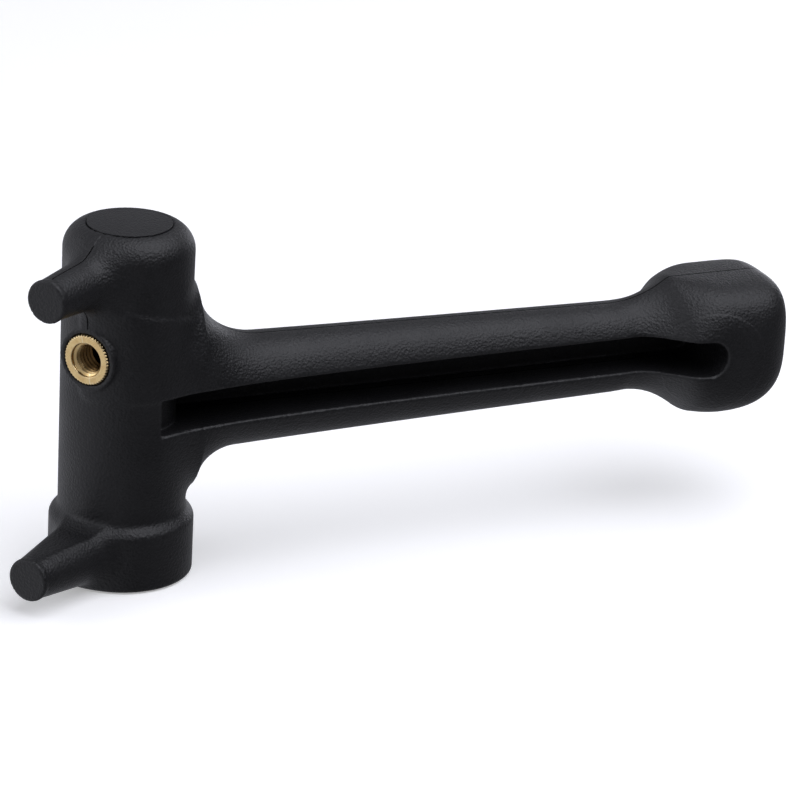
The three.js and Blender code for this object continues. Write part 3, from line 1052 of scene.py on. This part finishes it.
def soft_light(name, place, width, height, power):
    """A rectangular light, in metres and watts, that faces the handle."""
    data = bpy.data.lights.new(name, "AREA")
    data.shape = "RECTANGLE"
    data.size, data.size_y = width, height
    data.energy = power
    data.color = COOL_LIGHT
    light = bpy.data.objects.new(name, data)
    light.location = place
    aim = Vector(LIGHTS_AIM) - Vector(place)
    light.rotation_euler = aim.to_track_quat("-Z", "Y").to_euler()
    bpy.context.scene.collection.objects.link(light)


def build_lights():
    soft_light("key_overhead", (0.35, -0.3, 1.0), width=1.4, height=1.3, power=13)
    soft_light("key_left", (-0.7, 0.25, 0.4), width=0.5, height=0.6, power=1.2)
    soft_light("rim_right", (0.7, 0.6, 0.1), width=0.3, height=0.4, power=0.6)


WORLD_BASE = 0.05
WORLD_GLOWS = [
    ((-0.95, 0.1, -0.1), 0.6),
    ((0.15, 0.95, 0.2), 0.24),
    ((0.1, 0.3, -0.95), 0.32),
]


def build_world():
    """Bright on the left and behind, dark on the camera's side and on the right."""
    world = bpy.data.worlds.new("studio")
    bpy.context.scene.world = world
    world.use_nodes = True
    tree = world.node_tree
    direction = tree.nodes.new("ShaderNodeTexCoord").outputs["Generated"]
    level = None
    for axis, strength in WORLD_GLOWS:
        towards = tree.nodes.new("ShaderNodeVectorMath")
        towards.operation = "DOT_PRODUCT"
        tree.links.new(direction, towards.inputs[0])
        towards.inputs[1].default_value = axis
        glow = tree.nodes.new("ShaderNodeMapRange")
        glow.inputs["To Max"].default_value = strength
        tree.links.new(towards.outputs["Value"], glow.inputs["Value"])
        total = tree.nodes.new("ShaderNodeMath")
        total.operation = "ADD"
        tree.links.new(glow.outputs["Result"], total.inputs[0])
        if level is None:
            total.inputs[1].default_value = WORLD_BASE
        else:
            tree.links.new(level, total.inputs[1])
        level = total.outputs["Value"]
    tree.nodes["Background"].inputs["Color"].default_value = (*COOL_LIGHT, 1.0)
    tree.links.new(level, tree.nodes["Background"].inputs["Strength"])


CAMERA_TURN = math.radians(-25.0)
CAMERA_RISE = math.radians(21.7)
CAMERA_ROLL = math.radians(3.3)
CAMERA_DISTANCE = 0.96
CAMERA_SHIFT_RIGHT = 0.06612
CAMERA_SHIFT_UP = -0.000144
CAMERA_LENS = 180.0
CAMERA_SENSOR = 36.0


def build_camera():
    turn, level = CAMERA_TURN - math.pi / 2, math.cos(CAMERA_RISE)
    back = Vector((math.cos(turn) * level, math.sin(turn) * level, math.sin(CAMERA_RISE)))
    level_right = Vector((0, 0, 1)).cross(back).normalized()
    level_up = back.cross(level_right)
    right = math.cos(CAMERA_ROLL) * level_right + math.sin(CAMERA_ROLL) * level_up
    up = math.cos(CAMERA_ROLL) * level_up - math.sin(CAMERA_ROLL) * level_right
    data = bpy.data.cameras.new("camera")
    data.lens = CAMERA_LENS
    data.sensor_width = CAMERA_SENSOR
    camera = bpy.data.objects.new("camera", data)
    arm_height = Vector((0, 0, ARM_AXIS_Z * MM))
    place = arm_height + CAMERA_DISTANCE * back + CAMERA_SHIFT_RIGHT * right + CAMERA_SHIFT_UP * up
    turned = Matrix((right, up, back)).transposed().to_4x4()
    camera.matrix_world = Matrix.Translation(place) @ turned
    bpy.context.scene.collection.objects.link(camera)
    bpy.context.scene.camera = camera


build_object()
build_floor()
build_lights()
build_world()
build_camera()
bpy.context.scene.view_settings.view_transform = "Standard"
